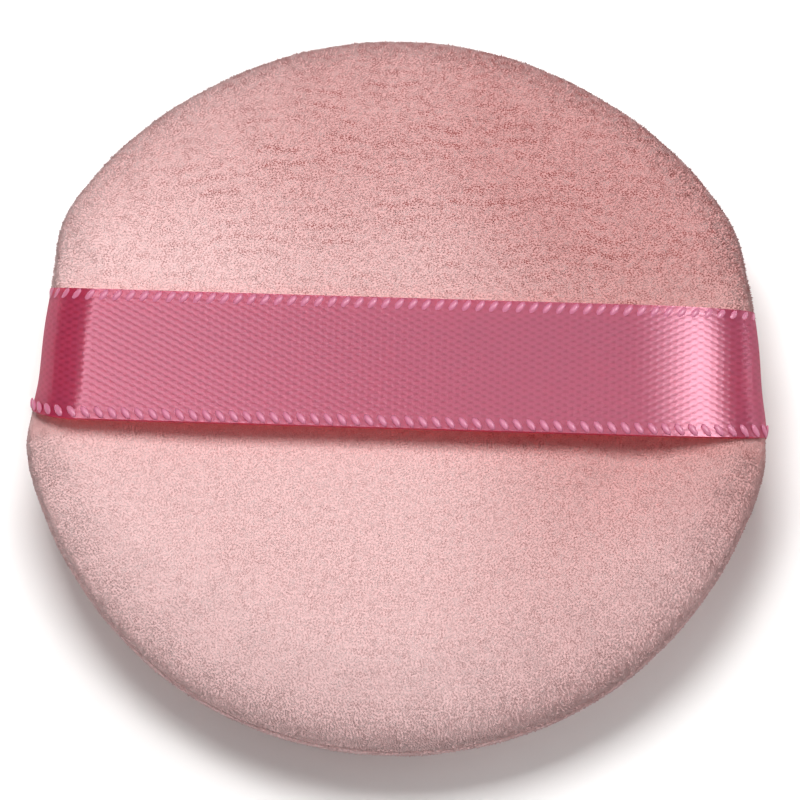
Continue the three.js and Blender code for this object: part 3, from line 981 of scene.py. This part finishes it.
def hand_stitches():
    """The closing thread, above one stitch and below the next."""
    points = [around(hole(0) - 0.3 * PITCH, STITCH_RADIUS, THREAD_LEVEL)]
    for k in range(CLOSING_COUNT):
        level = THREAD_LEVEL * (-1) ** k
        points += [around(hole(k) - 0.01, STITCH_RADIUS, level), around(hole(k) + 0.01, STITCH_RADIUS, -level)]
    return points + [around(hole(CLOSING_COUNT - 1) + 0.3 * PITCH, STITCH_RADIUS, -THREAD_LEVEL)]


# Spun thread: matt pink with a fine hairy grain.
spun, tree = new_material("polyester_thread")
place = add_node(tree, "ShaderNodeTexCoord")
fibres = add_node(tree, "ShaderNodeTexNoise", {"Vector": place.outputs["Object"], "Scale": 1 / (0.1 * MM)})
tint = add_node(
    tree,
    "ShaderNodeMix",
    {0: fibres.outputs["Fac"], 6: colour("#d08f92"), 7: colour("#ecb9bb")},
    data_type="RGBA",
)
surface = add_node(tree, "ShaderNodeBsdfPrincipled", {"Base Color": tint.outputs[2], "Roughness": 0.7})
add_node(tree, "ShaderNodeOutputMaterial", {"Surface": surface.outputs["BSDF"]})

tree, group = new_tree("thread", Radius=0.1)
path = add_node(tree, "GeometryNodeMeshToCurve", {"Mesh": group.outputs["Geometry"]})
section = add_node(tree, "GeometryNodeCurvePrimitiveCircle", {"Resolution": 6, "Radius": group.outputs["Radius"]})
strand = add_node(
    tree,
    "GeometryNodeCurveToMesh",
    {"Curve": path.outputs["Curve"], "Profile Curve": section.outputs["Curve"], "Fill Caps": True},
)
solid = add_node(tree, "GeometryNodeRealizeInstances", {"Geometry": strand.outputs["Mesh"]})
dyed = add_node(tree, "GeometryNodeSetMaterial", {"Geometry": solid.outputs["Geometry"], "Material": spun})
add_node(tree, "NodeGroupOutput", {"Geometry": dyed.outputs["Geometry"]})

for name, node, points in (
    ("needle_thread", "seam_needle_thread", lockstitch(1)),
    ("bobbin_thread", "seam_bobbin_thread", lockstitch(-1)),
    ("hand_thread", "closing_thread", hand_stitches()),
):
    line = bpy.data.meshes.new(name + "_line")
    line.from_pydata((np.array(points) * MM).tolist(), [(i, i + 1) for i in range(len(points) - 1)], [])
    sewn = piece(name, grown(name, line, tree, Radius=THREAD_RADIUS * MM))
    bpy.data.meshes.remove(line)
    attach(sewn, "pad")
    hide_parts(node)


# Floor, light and camera
# A pale studio sweep, soft light from above with fills from the front and the right, and the photograph's long lens.
paper, tree = new_material("white_paper")
surface = add_node(tree, "ShaderNodeBsdfPrincipled", {"Base Color": colour("#f7f6f5"), "Roughness": 0.9})
add_node(tree, "ShaderNodeOutputMaterial", {"Surface": surface.outputs["BSDF"]})
sweep = bpy.data.meshes.new("floor")
sweep.from_pydata([(-2, -2, 0), (2, -2, 0), (2, 2, 0), (-2, 2, 0)], [], [(0, 1, 2, 3)])
floor = piece("floor", sweep, paper)

# Light falls from a bright ceiling, and the room is darker towards the horizon.
world = bpy.data.worlds.new("studio")
world.use_nodes = True
tree = world.node_tree
tree.nodes.clear()
place = add_node(tree, "ShaderNodeTexCoord")
axes = add_node(tree, "ShaderNodeSeparateXYZ", {"Vector": place.outputs["Generated"]})
rise = add_node(tree, "ShaderNodeMapRange", {0: axes.outputs["Z"], 1: 0.0, 2: 1.0, 3: 0.12, 4: 0.3})
sky = add_node(tree, "ShaderNodeBackground", {"Color": colour("#ffffff"), "Strength": rise.outputs[0]})
add_node(tree, "ShaderNodeOutputWorld", {"Surface": sky.outputs["Background"]})
bpy.context.scene.world = world


def soft_light(name, place, size, watts):
    """A square soft light that looks at the puff."""
    lamp = bpy.data.lights.new(name, "AREA")
    lamp.size = size
    lamp.energy = watts
    made = bpy.data.objects.new(name, lamp)
    made.location = place
    made.rotation_euler = (-Vector(place)).to_track_quat("-Z", "Y").to_euler()
    bpy.context.scene.collection.objects.link(made)
    return made


# These light the matt cloth, by their place, size and watts.
for name, place, size, watts in (
    ("key_above", (-0.03, 0.1, 0.3), 0.14, 0.96),
    ("fill_front", (-0.2, -0.38, 0.2), 0.25, 0.45),
    ("fill_right", (0.4, 0.08, 0.12), 0.25, 0.6),
):
    soft_light(name, place, size, watts).visible_glossy = False
# These are seen only as the shine on the satin, on its left half and its right bend.
for name, place, size, watts in (
    ("ceiling", (-0.055, 0.108, 0.3), 0.06, 0.23),
    ("window_edge", (0.13, 0.2, 0.5), 0.14, 0.4),
    ("window_right", (0.26, 0.22, 0.5), 0.16, 2.1),
    ("window_low", (0.44, 0.17, 0.12), 0.14, 0.25),
):
    soft_light(name, place, size, watts).visible_diffuse = False

CAMERA_RISE = math.radians(70)
CAMERA_DISTANCE = 0.8
CAMERA_ROLL = math.radians(1.7)
PIXELS_PER_MM = 13.79
IMAGE_WIDTH = 800
AIM = (3.4, -4.6)  # where the image's middle lies from the puff's middle, in pixels right and up

lens = bpy.data.cameras.new("long_lens")
lens.sensor_width = 36
lens.lens = 36 * PIXELS_PER_MM / MM * CAMERA_DISTANCE / IMAGE_WIDTH
lens.clip_start = 0.01
camera = bpy.data.objects.new("camera", lens)
bpy.context.scene.collection.objects.link(camera)
toward = Vector((0, -math.cos(CAMERA_RISE), math.sin(CAMERA_RISE)))
turn = toward.to_track_quat("Z", "Y").to_matrix() @ Matrix.Rotation(CAMERA_ROLL, 3, "Z")
aim = Vector((0, 0, SEAM_HEIGHT * MM)) + turn @ Vector((*AIM, 0)) * (MM / PIXELS_PER_MM)
camera.matrix_world = Matrix.Translation(aim + toward * CAMERA_DISTANCE) @ turn.to_4x4()
bpy.context.scene.camera = camera
bpy.context.scene.view_settings.view_transform = "Standard"
